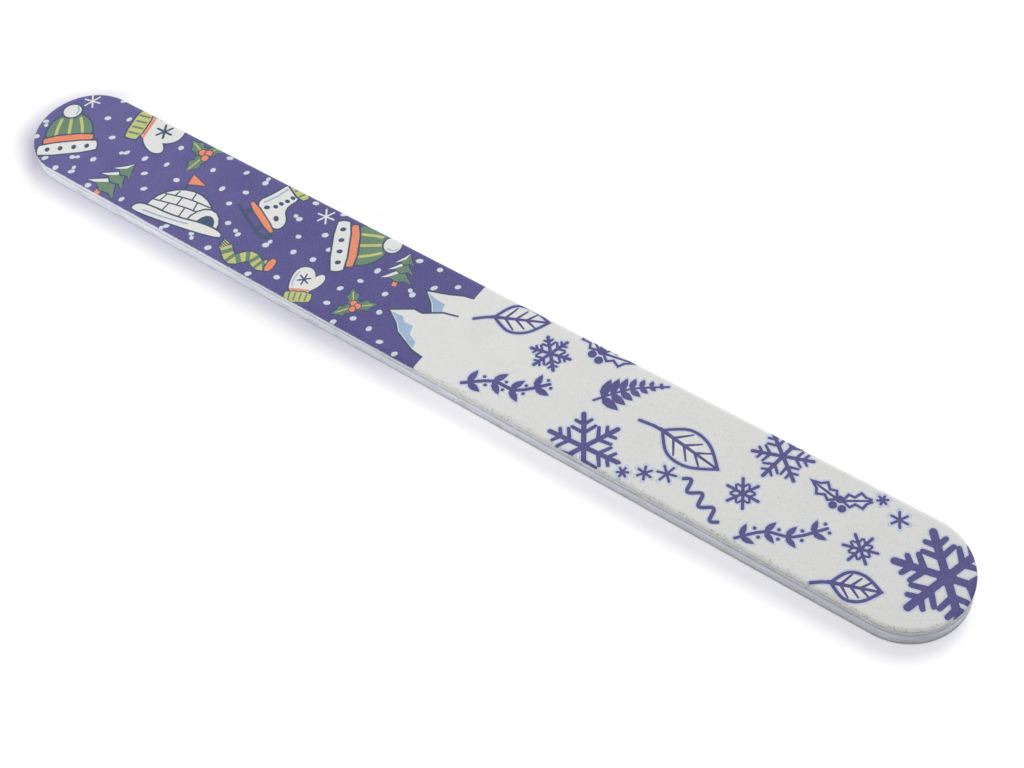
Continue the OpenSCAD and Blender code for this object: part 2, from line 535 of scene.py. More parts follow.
def mitten():
    """A knitted mitten with a cuff."""
    hand = rounded([(-2.4, 0), (2.4, 0), (2.8, 3.6), (2.1, 6.5), (0, 7.5), (-2.1, 6.5), (-2.8, 3.6)])
    thumb = rounded([(1.4, 0.8), (3.2, 1.5), (4.9, 3.8), (4.6, 5.6), (3.4, 5.6), (1.4, 3.6)])
    cuff = rounded([(-2.9, -2.2), (2.9, -2.2), (3.1, -1.0), (2.9, 0.4), (-2.9, 0.4), (-3.1, -1.0)], 1)
    shapes = [("navy", grown(part, OUTLINE)) for part in (thumb, hand)]
    shapes += [("paper", thumb), ("paper", hand)]
    shapes += stroke("sky", flowing([(-2.0, 2.0), (-2.1, 3.8), (-1.4, 5.9)]), 0.3)
    shapes += outlined("leaf", cuff)
    for x in (-1.9, -0.65, 0.65, 1.9):
        shapes += stroke("green", [(x, -1.8), (x, 0.0)], 0.38)
    shapes += stroke("orange", [(-2.3, 1.0), (2.3, 1.0)], 0.5, False)
    return shapes + moved(snow_star("navy", 1.4, 0.4), 0.2, 3.9, 0.3)


def bobble_hat():
    """A knitted hat with a band, a turned-up rim and a bobble."""
    crown = rounded([(-3.8, 0.2), (3.8, 0.2), (3.6, 3.2), (1.7, 5.6), (-1.7, 5.6), (-3.6, 3.2)])
    band = rounded([(-4.0, -0.7), (4.0, -0.7), (4.0, 1.0), (-4.0, 1.0)], 1)
    rim = rounded([(-4.6, -2.9), (4.6, -2.9), (4.9, -1.7), (4.5, -0.5), (-4.5, -0.5), (-4.9, -1.7)], 1)
    shapes = outlined("green", crown)
    for x, lean in ((-2.2, 0.5), (0.0, 0.0), (2.2, -0.5)):
        shapes += stroke("leaf", [(x, 1.0), (x + lean * 0.5, 3.0), (x + lean * 1.3, 4.6)], 0.5)
    shapes += outlined("orange", band) + outlined("paper", rim) + outlined("paper", oval(0, 6.3, 1.5, 1.4))
    for x in (-3.2, -1.1, 1.1, 3.2):
        shapes.append(("navy", oval(x, -1.7, 0.4, 0.48)))
    shapes += stroke("sky", flowing([(0.8, 7.2), (1.05, 6.4), (0.7, 5.6)]), 0.28)
    return shapes


def arch(x, y, wide, tall, steps):
    """The upper half of an oval, from its right foot to its left."""
    turns = [math.pi * k / steps for k in range(steps + 1)]
    return [(x + wide * math.cos(turn), y + tall * math.sin(turn)) for turn in turns]


def igloo():
    """A house of snow blocks with a tunnel and a flag."""
    shapes = stroke("navy", [(-1.6, 4.8), (-1.9, 8.4)], 0.45)
    shapes += outlined("orange", [(-1.9, 8.3), (-1.75, 6.3), (1.0, 7.0)], 0.22)
    shapes += outlined("paper", arch(0, 0, 5.6, 5.2, 12))
    for height, reach in ((1.75, 5.2), (3.4, 4.1)):
        shapes += stroke("navy", flowing([(-reach, height), (0, height + 0.3), (reach, height)]), 0.26)
    for x, low, high in ((-2.8, 0.0, 1.8), (0.4, 0.0, 2.0), (-4.2, 1.8, 3.2), (-1.2, 2.0, 3.6),
                         (1.9, 1.9, 3.6), (-2.4, 3.5, 4.5), (0.6, 3.7, 5.0)):
        shapes += stroke("navy", [(x, low), (x * 0.9, high)], 0.26)
    shapes += outlined("paper", arch(4.6, -0.3, 2.6, 3.3, 8)) + [("navy", arch(5.0, -0.3, 1.6, 2.3, 8))]
    shapes += outlined("paper", rounded([
        (-7.4, -1.5), (8.4, -1.5), (8.6, -0.3), (4.8, 0.3), (0, -0.2), (-6.2, 0.5), (-7.6, -0.3)]))
    shapes += stroke("sky", flowing([(-5.6, -0.7), (-2.0, -0.8), (2.4, -0.6)]), 0.3)
    return shapes


def ice_skate():
    """A white skating boot with a cuff, laces and a blade."""
    boot = rounded([
        (-2.2, 0), (3.4, -0.2), (4.9, 0.6), (4.4, 2.3), (1.5, 3.2), (1.2, 6.6), (-2.5, 6.6), (-2.0, 3.2)])
    shapes = stroke("navy", flowing([(-3.2, -2.3), (0, -2.4), (4.0, -2.3), (5.4, -1.5), (5.2, -0.8)]), 0.6)
    for x in (-1.2, 2.8):
        shapes += stroke("navy", [(x, -0.6), (x, -2.2)], 1.0)
    shapes += outlined("paper", boot)
    shapes += outlined("orange", rounded([(-2.5, -0.9), (4.7, -0.9), (4.9, 0.0), (-2.5, 0.1)], 1), 0.24)
    shapes += outlined("leaf", rounded([(-3.1, 6.0), (1.8, 6.0), (2.0, 7.7), (-3.2, 7.7)], 1))
    for x in (-2.0, -0.6, 0.8):
        shapes += stroke("green", [(x, 6.3), (x, 7.4)], 0.38)
    for k in range(4):
        shapes.append(("navy", oval(0.45 + 0.1 * k * (k < 2), 5.3 - 1.0 * k, 0.45, 0.34, 0.3)))
    shapes += stroke("sky", flowing([(-1.6, 5.4), (-1.3, 3.2), (-1.4, 1.2)]), 0.34)
    shapes += [("navy", oval(2.7, 1.3, 0.6, 0.42, 2.9)), ("navy", oval(-0.2, 1.1, 0.5, 0.4, 0.8))]
    return shapes


def fir_tree():
    """A fir of three tiers with snow on one side."""
    shapes = outlined("orange", [(-0.5, -1.3), (0.5, -1.3), (0.5, 0.5), (-0.5, 0.5)], 0.2)
    for base, wide, tall in ((0.0, 3.4, 3.7), (2.3, 2.8, 3.2), (4.4, 2.1, 2.9)):
        tier = [(-wide, base), (-0.5 * wide, base + 0.5), (0, base - 0.1), (0.5 * wide, base + 0.5),
                (wide, base), (0.38 * wide, base + 0.55 * tall), (0, base + tall),
                (-0.38 * wide, base + 0.55 * tall)]
        snow = [(-wide, base), (-0.62 * wide, base + 0.45), (-0.12 * wide, base + 0.5 * tall),
                (0, base + tall), (-0.38 * wide, base + 0.55 * tall)]
        shapes += [("navy", grown(tier, 0.26)), ("green", tier), ("paper", snow)]
    return shapes


def scarf():
    """A striped scarf with a fringe, blown out in a wave."""
    line = flowing([(-5.4, 1.5), (-2.8, -0.9), (0.4, 0.9), (3.2, -0.5), (5.0, 0.5)], 4)
    shapes = []
    for k in range(5):
        y = 1.5 + 1.0 * (k - 2) / 2
        shapes += stroke("navy", [(-5.2, y - 0.2), (-6.7, y + 0.5)], 0.5)
        shapes += stroke("leaf", [(-5.2, y - 0.2), (-6.5, y + 0.4)], 0.22)
    shapes += stroke("navy", line, 2.9, False) + stroke("leaf", line, 2.3, False)
    for k in range(1, len(line) - 1, 2):
        shapes.append(("green", stroke("green", line[k:k + 2], 2.3, False)[0][1]))
    shapes += outlined("orange", rounded([(4.4, -1.4), (5.9, -1.1), (6.1, 1.7), (4.6, 1.9)], 1))
    return shapes


def holly():
    """A sprig of three leaves and three berries."""
    shapes = []
    for turn in (0.5, 2.1, 3.9):
        leaf = [(0.4, -0.5), (1.3, -1.3), (2.0, -0.9), (3.1, -1.5), (3.8, -0.7), (5.4, 0.0),
                (3.8, 0.7), (3.1, 1.5), (2.0, 0.9), (1.3, 1.3), (0.4, 0.5)]
        rib = stroke("leaf", [(0.6, 0), (4.2, 0)], 0.3)
        shapes += moved(outlined("green", leaf, 0.24) + rib, turn=turn)
    for x, y in ((-0.5, 0.9), (0.8, 0.5), (0.0, -0.7)):
        shapes += outlined("orange", oval(x, y, 0.75, 0.75), 0.22)
    return shapes


def snow_peaks():
    """Two snowy peaks at the end of the print, with blue shade down one side of each."""
    far_peak = [(3.0, -1.0), (3.0, 6.6), (-0.8, 5.8), (-3.0, 4.8), (-6.4, 3.6), (-4.4, 2.1), (-3.2, 0.6)]
    far_shade = [(-6.1, 3.5), (-4.3, 2.2), (-3.1, 0.8), (-1.2, 1.0), (-2.2, 2.0), (-2.4, 3.0), (-4.2, 3.1)]
    near_peak = [(3.0, -7.2), (3.0, 2.6), (-1.6, 1.4), (-4.4, -0.4), (-6.0, -0.4),
                 (-9.2, -2.4), (-6.8, -3.8), (-5.6, -5.0), (-1.6, -6.6)]
    near_shade = [(-8.9, -2.5), (-6.7, -3.7), (-5.5, -4.9), (-1.6, -6.5), (-2.0, -5.2),
                  (-3.6, -4.6), (-4.2, -3.0), (-5.8, -3.1), (-6.8, -2.3)]
    shapes = outlined("paper", far_peak, 0.34) + [("sky", far_shade)]
    return shapes + outlined("paper", near_peak, 0.34) + [("sky", near_shade)]


def snow_star(ink="paper", reach=1.7, width=0.34):
    """A small star of three crossed lines."""
    shapes = []
    for k in range(3):
        x, y = reach * math.cos(math.pi * k / 3), reach * math.sin(math.pi * k / 3)
        shapes += stroke(ink, [(-x, -y), (x, y)], width)
    return shapes


def crystal(ink, margin, reach, width, forks, plate):
    """A snow crystal of six arms with forks, and a plate in its middle."""
    shapes = []
    for k in range(6):
        arm = stroke(ink, [(0, 0), (reach, 0)], width + 2 * margin)
        for fork in range(forks):
            start, length = reach * (0.42 + 0.26 * fork), reach * (0.36 - 0.12 * fork)
            for side in (1, -1):
                end = (start + length * 0.55, side * length * 0.83)
                widths = [(width + 2 * margin) * 0.85, width * 0.7 + 2 * margin]
                arm += stroke(ink, [(start, 0), end], widths)
        shapes += moved(arm, turn=math.pi * k / 3)
    if plate:
        shapes.append((ink, oval(0, 0, plate + margin, plate + margin, points=6)))
    return shapes


def leaf_shape(ink, margin, x, y, turn, long, wide):
    """One pointed leaf that grows from a place on its stem."""
    leaf = [(0, 0), (0.25 * long, -0.42 * wide), (0.55 * long, -0.46 * wide), (0.82 * long, -0.24 * wide),
            (long, 0), (0.82 * long, 0.24 * wide), (0.55 * long, 0.46 * wide), (0.25 * long, 0.42 * wide)]
    return moved([(ink, grown(leaf, margin))], x, y, turn)


def garland(ink, margin, points, leaf_long, leaf_wide, stem):
    """A stem with leaves in pairs, and a berry between the pairs."""
    line = flowing(points, 4)
    shapes = stroke(ink, line, stem + 2 * margin)
    for k in range(1, len(line) - 1, 3):
        (x, y), (next_x, next_y) = line[k], line[k + 1]
        along = math.atan2(next_y - y, next_x - x)
        for side in (1, -1):
            shapes += leaf_shape(ink, margin, x, y, along + side * 0.85, leaf_long, leaf_wide)
            if k + 2 < len(line):
                berry_x = line[k + 2][0] - side * 0.75 * math.sin(along)
                berry_y = line[k + 2][1] + side * 0.75 * math.cos(along)
                shapes.append((ink, oval(berry_x, berry_y, 0.3 + margin, 0.3 + margin, points=8)))
    return shapes


def hollow(outline, line):
    """The white inside of a drawn shape, with the print's bleed along its drawn line."""
    return [("halo", grown(outline, -line)), ("paper", grown(outline, -line - HALO))]


def broad_leaf(ink, margin, long, wide):
    """A broad leaf drawn in line, with a rib and veins."""
    half = flowing([(0, 0), (0.3 * long, 0.42 * wide), (0.65 * long, 0.4 * wide), (long, 0)], 5)
    leaf = [(x, -y) for x, y in half] + [(x, y) for x, y in reversed(half[1:-1])]
    stem = [(-0.3 * long, -0.12 * wide), (-0.1 * long, -0.03 * wide), (0.06 * long, 0)]
    shapes = stroke(ink, stem, 0.55 + 2 * margin)
    shapes.append((ink, grown(leaf, margin)))
    if ink == "purple":
        shapes += hollow(leaf, 0.5) + stroke(ink, [(0, 0), (0.92 * long, 0)], [0.66, 0.4])
        for share in (0.22, 0.4, 0.58):
            for side in (1, -1):
                vein = [(share * long, 0), ((share + 0.17) * long, side * 0.34 * wide * (1.2 - share))]
                shapes += stroke(ink, vein, [0.46, 0.3])
    return shapes


def fern(ink, margin, long, wide, pairs):
    """A frond whose leaflets shorten towards its tip."""
    line = flowing([(0, 0), (0.5 * long, 0.07 * long), (long, 0)], 6)
    shapes = stroke(ink, line, 0.4 + 2 * margin)
    for k in range(pairs):
        share = (k + 0.8) / (pairs + 0.6)
        x, y = share * long, 0.28 * long * share * (1 - share)
        leaflet = wide * (1.08 - share), 0.34 * wide * (1.15 - share) + 0.35
        for side in (1, -1):
            shapes += leaf_shape(ink, margin, x, y, side * 0.95, *leaflet)
    return shapes


def wave(ink, margin, long, height, waves, width):
    """A long rippling line, of 14 points to a wave."""
    line = [(long * k / (14 * waves), height * math.sin(math.tau * k / 14)) for k in range(14 * waves + 1)]
    return stroke(ink, line, width + 2 * margin)


def falling_stars(ink, margin, long, count, reach):
    """A row of small stars that grow along it."""
    shapes = []
    for k in range(count):
        size = reach * (0.7 + 0.5 * k / (count - 1))
        star = snow_star(ink, size + margin, 0.42 + 2 * margin)
        shapes += moved(star, long * k / (count - 1), turn=0.4 * k)
    return shapes


def holly_leaves(ink, margin, size):
    """Two spined leaves and three berries."""
    shapes = []
    for turn in (0.35, 2.75):
        leaf = [(0.5, -0.4), (1.5, -1.5), (2.5, -0.95), (3.7, -1.8), (4.5, -0.8), (6.3, 0.0),
                (4.5, 0.8), (3.7, 1.8), (2.5, 0.95), (1.5, 1.5), (0.5, 0.4)]
        shapes += moved([(ink, grown(leaf, margin / size))], turn=turn, size=size)
        if ink == "purple":
            rib = stroke("purple", [(0.5, 0), (5.2, 0)], [0.45 / size, 0.35 / size])
            shapes += moved(hollow(leaf, 0.42 / size) + rib, turn=turn, size=size)
    for x, y in ((-0.8, -1.1), (0.8, -1.3), (0.0, 0.3)):
        shapes.append((ink, oval(x * size, y * size, 0.75 * size + margin, 0.75 * size + margin, points=12)))
    return shapes


def moved(shapes, x=0.0, y=0.0, turn=0.0, size=1.0):
    """Shapes turned, scaled and set down at a place on the face."""
    along, across = size * math.cos(turn), size * math.sin(turn)
    placed = []
    for ink, ring in shapes:
        placed.append((ink, [(x + along * a - across * b, y + across * a + along * b) for a, b in ring]))
    return placed


def covered(ring, places):
    """Which of these places lie inside a closed ring."""
    inside = np.zeros(len(places), bool)
    for (x, y), (next_x, next_y) in zip(ring, ring[1:] + ring[:1]):
        if y != next_y:
            crossed = (places[:, 1] < y) != (places[:, 1] < next_y)
            inside ^= crossed & (places[:, 0] < x + (next_x - x) * (places[:, 1] - y) / (next_y - y))
    return inside


WINTER_THINGS = (
    (bobble_hat, -81.2, -2.9, 38, 1.10), (mitten, -71.6, 6.6, -76, 1.08), (fir_tree, -68.0, -8.4, -10, 1.04),
    (snow_star, -84.0, 6.2, 12, 0.9), (igloo, -52.4, -6.0, 10, 1.10), (holly, -57.4, 6.9, 40, 0.86),
    (ice_skate, -40.6, 2.4, -24, 1.08), (scarf, -36.0, -6.7, 12, 0.84), (mitten, -24.0, -7.6, 24, 0.74),
    (bobble_hat, -22.8, 4.6, -58, 1.08), (snow_star, -30.4, 7.2, 5, 0.9), (holly, -14.6, -5.0, 10, 0.70),
    (fir_tree, -12.0, 2.6, 14, 0.80), (snow_peaks, 0.0, 0.0, 0, 1.0),
)
PURPLE_ORNAMENTS = (
    ((broad_leaf, 9.4, 6.2), 5.4, 5.0, 24), ((crystal, 3.2, 0.58, 2, 0.0), 17.2, 4.0, 12),
    ((garland, ((0, 0), (4.5, 1.6), (8.5, 1.0), (13.0, 3.4)), 2.7, 1.25, 0.6), 8.8, -7.6, 16),
    ((holly_leaves, 0.95), 23.6, 8.2, -10), ((crystal, 5.8, 0.8, 2, 1.0), 31.0, -7.2, 4),
    ((fern, 11.4, 3.6, 7), 27.6, 0.4, 44), ((falling_stars, 6.4, 3, 1.15), 38.2, -7.8, 30),
    ((broad_leaf, 11.2, 6.8), 38.8, 1.4, -8), ((wave, 8.6, 0.8, 3, 0.6), 46.2, -4.0, -24),
    ((crystal, 4.4, 0.6, 2, 0.0), 56.2, 6.8, 20), ((crystal, 2.5, 0.5, 1, 0.0), 54.6, -1.6, 0),
    ((garland, ((0, 0), (4.0, 1.5), (8.0, 1.1), (12.6, 3.0)), 2.3, 1.0, 0.5), 57.4, -8.4, 26),
    ((holly_leaves, 0.86), 66.6, 4.6, 12), ((falling_stars, 3.8, 2, 1.05), 71.6, 7.9, -24),
    ((crystal, 2.4, 0.48, 1, 0.0), 72.8, -0.6, 16), ((crystal, 7.2, 1.2, 2, 1.6), 84.6, 1.8, 12),
    ((broad_leaf, 7.6, 5.4), 71.6, -7.4, 20),
)
SNOW_SPOTS = 72
SPOT_GAP = 3.2
SPOT_CLEARANCE = 1.1
SPOT_TRIES = 4000
SPOT_FIELD = ((-88, -1.2), (-9.2, 9.2))
TWIN_SHARE = 0.2
TWIN_GAP = 0.95
SHOULDER_LINES = (-1.10, -0.74, -0.70, -0.60, -0.50, -0.40, -0.30, -0.10)
SAME_PLACE = 1e-4
draw = random.Random(5)

border = [(PURPLE_ENDS_AT, -PAST_SIDE), (PURPLE_ENDS_AT + BORDER_LEAN, PAST_SIDE)]
print_plan = [("worn", ring_at(HALF, 0.7, 0.02, 0.8)), ("paper", ring_at(HALF - WORN_RIM, 0.35, 0.05, 0.5))]
print_plan.append(("purple", [(-PAST_END, -PAST_SIDE), *border, (-PAST_END, PAST_SIDE)]))
things = [shape for motif, x, y, degrees, size in WINTER_THINGS
          for shape in moved(motif(), x, y, math.radians(degrees), size)]
drawn = np.array([corner for _, ring in things for corner in ring])
tries = np.array([[draw.uniform(*span) for span in SPOT_FIELD] for _ in range(SPOT_TRIES)])
hidden = np.zeros(len(tries), bool)
for _, ring in things:
    hidden |= covered(ring, tries)
spots = []
for x, y in tries[~hidden]:
    clear = np.hypot(drawn[:, 0] - x, drawn[:, 1] - y).min() > SPOT_CLEARANCE
    if clear and len(spots) < SNOW_SPOTS and all(math.hypot(x - a, y - b) > SPOT_GAP for a, b in spots):
        spots.append((x, y))
        wide, tall = draw.uniform(0.5, 0.66), draw.uniform(0.38, 0.5)
        print_plan.append(("snow", oval(x, y, wide, tall, draw.uniform(0.2, 1.4))))
        if draw.random() < TWIN_SHARE:
            way = draw.uniform(0, math.tau)
            x, y = x + TWIN_GAP * math.cos(way), y + TWIN_GAP * math.sin(way)
            print_plan.append(("snow", oval(x, y, 0.44, 0.38, way)))
print_plan += things
print_plan.append(("paper", [border[0], (PAST_END, -PAST_SIDE), (PAST_END, PAST_SIDE), border[1]]))
for (ornament, *sizes), x, y, degrees in PURPLE_ORNAMENTS:
    for ink, margin in (("halo", HALO), ("purple", 0.0)):
        print_plan += moved(ornament(ink, margin, *sizes), x, y, math.radians(degrees))


def tiles_of_print(plan):
    """Cut the face along every drawn edge, and give each scrap the ink that was laid on it last."""
    points, lines = [], []
    shoulder_rings = [ring_at(HALF + out, 0.7) for out in SHOULDER_LINES]
    for ring in [ring for _, ring in plan] + shoulder_rings:
        lines += [(len(points) + k, len(points) + (k + 1) % len(ring)) for k in range(len(ring))]
        points += ring
    corners, _, scraps = delaunay_2d_cdt([Vector(p) for p in points], lines, [], 0, SAME_PLACE)[:3]
    flat = np.array([tuple(corner) for corner in corners])
    middles = flat[np.array(scraps)].mean(axis=1)
    laid = np.full(len(scraps), -1)
    for number, (_, ring) in enumerate(plan):
        low, high = np.min(ring, axis=0), np.max(ring, axis=0)
        near = np.flatnonzero(((middles >= low) & (middles <= high)).all(axis=1))
        laid[near[covered(ring, middles[near])]] = number
    laid[~covered(plan[1][1], middles)] = 0
    laid[~covered(plan[0][1], middles)] = -1
    tiles = {}
    for scrap, number in zip(scraps, laid):
        if number >= 0:
            tiles.setdefault(plan[number][0], []).append(scrap)
    return corners, tiles


def face_height(x, y):
    """The height of the printed face, level in the middle and drawn down at the rim."""
    out = math.hypot(x - max(-SPINE, min(SPINE, x)), y) - HALF
    return FACE_TOP - shoulder_drop(min(out, 0.0) * MM) / MM


def tile_piece(name, corners, scraps, material):
    """One ink's share of the coat, as a closed thin plate that follows the face."""
    used = sorted({k for scrap in scraps for k in scrap})
    row = {k: place for place, k in enumerate(used)}
    upper = [(corners[k].x, corners[k].y, face_height(*corners[k])) for k in used]
    verts = upper + [(x, y, z - COAT) for x, y, z in upper]
    faces = [tuple(row[k] for k in scrap) for scrap in scraps]
    sides = dict.fromkeys(side for face in faces for side in zip(face, face[1:] + face[:1]))
    faces += [tuple(k + len(used) for k in reversed(face)) for face in faces]
    faces += [(b, a, a + len(used), b + len(used)) for a, b in sides if (b, a) not in sides]
    mesh = bpy.data.meshes.new(name)
    mesh.from_pydata([(x * MM, y * MM, z * MM) for x, y, z in verts], [], faces)
    mesh.materials.append(material)
    return set_up(name, mesh)


INKS = {
    "paper": ((217, 217, 214), (229, 229, 227), (235, 235, 233)),
    "worn": ((176, 176, 182), (210, 210, 214), (232, 232, 234)),
    "halo": ((188, 199, 221), (202, 211, 228), (215, 221, 232)),
    "snow": ((198, 209, 218), (211, 221, 228), (220, 228, 233)),
    "purple": ((79, 73, 131), (98, 92, 149), (116, 110, 165)),
    "navy": ((44, 60, 88), (58, 78, 108), (84, 104, 130)),
    "green": ((84, 112, 92), (104, 134, 112), (128, 156, 134)),
    "leaf": ((172, 176, 100), (196, 198, 122), (212, 214, 150)),
    "orange": ((214, 118, 84), (238, 142, 106), (244, 164, 132)),
    "sky": ((140, 166, 200), (162, 186, 214), (184, 204, 226)),
}
RIM_INKED = ((76, 72, 116), (116, 113, 148), (160, 159, 184))
# The rim of the white half: the grey of dust and fibres, with painted shade where the drawn-down shoulder
# turns from the light.
RIM_DUST_AND_SHADE = ((170, 169, 167), (204, 204, 203), (220, 220, 219))
# Painted sheen: the purple is lighter towards the left end and changes over to these deeper tones towards
# the middle.
PURPLE_PAST_PAINTED_SHEEN = ((66, 60, 121), (85, 79, 138), (104, 98, 155))
RIM_INKED_OVER = (-70 * MM, -15 * MM)
RIM_DUST_AND_SHADE_OVER = (-1 * MM, 3 * MM)
PAINTED_SHEEN_FADES_OVER = (-80 * MM, -15 * MM)


def mixed(tree, share, first, second):
    """Two colours mixed, all of the second where the share is one."""
    return add(tree, "ShaderNodeMix", {0: share, 6: first, 7: second}, data_type="RGBA").outputs[2]


def change_over(material, tones, start, end, darkest=DARKEST_AT, palest=PALEST_AT):
    """Change a finish over to three other tones between two places along the file."""
    tree = material.node_tree
    colour = tree.nodes["Principled BSDF"].inputs["Base Color"]
    here = colour.links[0].from_socket
    ramp = next(node for node in tree.nodes if node.bl_idname == "ShaderNodeValToRGB")
    there = toned(tree, ramp.inputs["Fac"].links[0].from_socket, tones, darkest, palest)
    place = add(tree, "ShaderNodeTexCoord").outputs["Object"]
    along = graded(tree, add(tree, "ShaderNodeSeparateXYZ", {0: place}).outputs["X"], start, end)
    tree.links.new(mixed(tree, along, here, there), colour)


corners, tiles = tiles_of_print(print_plan)
for number, (ink, tones) in enumerate(INKS.items()):
    coat = mottled(
        "coat_over_" + ink, tones, 0.17 * MM, 0.03 * MM, 0.62, blotch=30, broad_share=0.15, shine=0.4)
    # The worn rim changes over to purple ink, then on the white half to dust grey with painted shade.
    if ink == "worn":
        change_over(coat, RIM_INKED, *RIM_INKED_OVER)
        change_over(coat, RIM_DUST_AND_SHADE, *RIM_DUST_AND_SHADE_OVER, darkest=0.40, palest=0.62)
    # Painted sheen on the purple, fading out towards the middle.
    if ink == "purple":
        change_over(coat, PURPLE_PAST_PAINTED_SHEEN, *PAINTED_SHEEN_FADES_OVER)
    grain = mottled("grain_over_" + ink, tones[1:], 0.3 * MM, 0.01 * MM, 0.45)
    tile = tile_piece("coat_over_" + ink, corners, tiles[ink], coat)
    grains = strew("grains_over_" + ink, tile, grain, (0, 0, 1), 21 + number)
    settle(tile, "clear_abrasive_coat", "top_grit_coat")
    settle(grains, "clear_abrasive_coat", smooth=False)

# Edge crumbs: dark specks of burnt glue and dust that the die has left along one long side
# of the white half and round its end, fine ones on the rim of the coat and coarser, sparser
# ones a little further in. They hold on by the grit.
CRUMBS_FROM = 6
NEAR_SIDE = -0.2 * HALF
CRUMBS = (("fine_crumbs", 0.55, 4.5e6, 0.15 * MM), ("coarse_crumbs", 0.8, 1.4e6, 0.26 * MM))
crumb = mottled("edge_crumb", ((126, 122, 117), (174, 171, 166)), 0.2 * MM, 0.01 * MM, 0.7)
for number, (name, zone, per_area, width) in enumerate(CRUMBS):
    rim_scraps = []
    for scrap in [scrap for laid in tiles.values() for scrap in laid]:
        x, y = sum((corners[k] for k in scrap), Vector((0.0, 0.0))) / len(scrap)
        if x > CRUMBS_FROM and y < NEAR_SIDE and math.hypot(max(0.0, x - SPINE), y) > HALF - zone:
            rim_scraps.append(scrap)
    rim = tile_piece("rim", corners, rim_scraps, crumb)
    crumbs = strew(name, rim, crumb, (0, 0, 1), 41 + number, per_area, width)
    bpy.data.objects.remove(rim)
    settle(crumbs, "clear_abrasive_coat", smooth=False)

# Floor, light and camera: a white sheet under the file, a soft sky that is brighter behind
# it, soft lamps behind it, at its left and in front, and a camera where the photograph was
# taken from. The sheet is lifted to white for the camera, less so close to the file, which
# paints shade there, and lavender shadow is painted onto it round the left half and left end.
FLOOR_SIZE = 6.0
FLOOR_GAP = 0.02 * MM
SHEET_WHITE = (0.97, 0.97, 0.97, 1)
SHEET_IN_PAINTED_SHADOW = (0.84, 0.82, 0.92, 1)
SHEET_IN_PAINTED_END_SHADOW = (0.35, 0.335, 0.39, 1)
TINT_AT_LEFT = (1.0, 0.98, 1.12, 1)
TINT_AT_RIGHT = (1.0, 0.985, 1.05, 1)
LEFT_HALF = (12 * MM, -20 * MM)
LIFT_AT_LEFT = 0.08
LIFT_AT_RIGHT = 0.34
LIFT_PAST_PAINTED_SHADE = 0.07
LIFT_FAR_OFF = 0.45
FAR_OFF = (14 * MM, 120 * MM)
PAINTED_SHADOW_SHIFT = (1.0 * MM, 0.6 * MM, 0.0)
PAINTED_SHADOW_WIDTH = 2.2 * MM
PAINTED_SHADOW_ENDS = (4 * MM, -8 * MM)
PAINTED_END_SHADOW_SHIFT = (3.0 * MM, 0.0, 0.0)
PAINTED_END_SHADOW_FADES = 4.5 * MM
PAINTED_END_SHADOW_FULL = 1.8 * MM
PAINTED_END_SHADOW_ALONG = (-80 * MM, -86 * MM)
PAINTED_END_SHADOW_NEARER = (-12.2 * MM, -5 * MM)
PAINTED_TAIL_AT_LEFT = 0.045
PAINTED_TAIL_AT_RIGHT = 0.08
PAINTED_TAIL_NEARER = (0.0, -9 * MM)
PAINTED_TAIL_ENDS = (80 * MM, 50 * MM)
bpy.ops.mesh.primitive_plane_add(size=FLOOR_SIZE, location=(0, 0, -FLOOR_GAP))
floor = bpy.context.object
floor.name = "floor"
floor_white, tree, shader, place = new_material("floor_white")
shader.inputs["Roughness"].default_value = 0.9
shader.inputs["Specular IOR Level"].default_value = 0.0


def seen_rays(tree):
    """One where the camera, a reflection or a view through glass looks, else nothing."""
    path = add(tree, "ShaderNodeLightPath")
    seen = path.outputs["Is Camera Ray"]
    for ray in ("Is Glossy Ray", "Is Transmission Ray"):
        seen = reckon(tree, "MAXIMUM", seen, path.outputs[ray])
    return seen


def within(tree, value, *spans):
    """A value that fades in over the span of each of these measures."""
    for measure, start, end in spans:
        value = reckon(tree, "MULTIPLY", value, graded(tree, measure, start, end))
    return value


def reach_after(tree, place, shift):
    """How far out from the spine each point would be after this shift."""
    return along_the_spine(tree, add(tree, "ShaderNodeVectorMath", {0: place, 1: shift}).outputs[0])[1]


parts = add(tree, "ShaderNodeSeparateXYZ", {0: place})
across, deep = parts.outputs["X"], parts.outputs["Y"]
reach = along_the_spine(tree, place)[1]
leftward = graded(tree, across, *LEFT_HALF)
# Painted shadow: a lavender shade painted onto the sheet round the file's left half, most on its near side.
painted_shadow = graded(tree, reach_after(tree, place, PAINTED_SHADOW_SHIFT), half_width + PAINTED_SHADOW_WIDTH, half_width)
sheet = mixed(tree, within(tree, painted_shadow, (across, *PAINTED_SHADOW_ENDS)), SHEET_WHITE, SHEET_IN_PAINTED_SHADOW)
# Painted shadow round the left end: a darker shade painted onto the sheet past the end of the file.
past_end = reach_after(tree, place, PAINTED_END_SHADOW_SHIFT)
painted_end_shadow = graded(tree, past_end, half_width + PAINTED_END_SHADOW_FADES, half_width - PAINTED_END_SHADOW_FULL)
painted_end_shadow = within(tree, painted_end_shadow, (across, *PAINTED_END_SHADOW_ALONG), (deep, *PAINTED_END_SHADOW_NEARER))
tree.links.new(mixed(tree, painted_end_shadow, sheet, SHEET_IN_PAINTED_END_SHADOW), shader.inputs["Base Color"])
level = graded(tree, leftward, 0.0, 1.0, LIFT_AT_RIGHT, LIFT_AT_LEFT)
# The lift is held back within 2 mm of the file's left half, which paints a deeper shade there.
lift_past_painted_shade = graded(tree, reach, half_width, half_width + 2 * MM, 0.0, LIFT_PAST_PAINTED_SHADE)
lift_past_painted_shade = reckon(tree, "MULTIPLY", lift_past_painted_shade, leftward)
way_off = graded(tree, reach, *FAR_OFF, 0.0, LIFT_FAR_OFF)
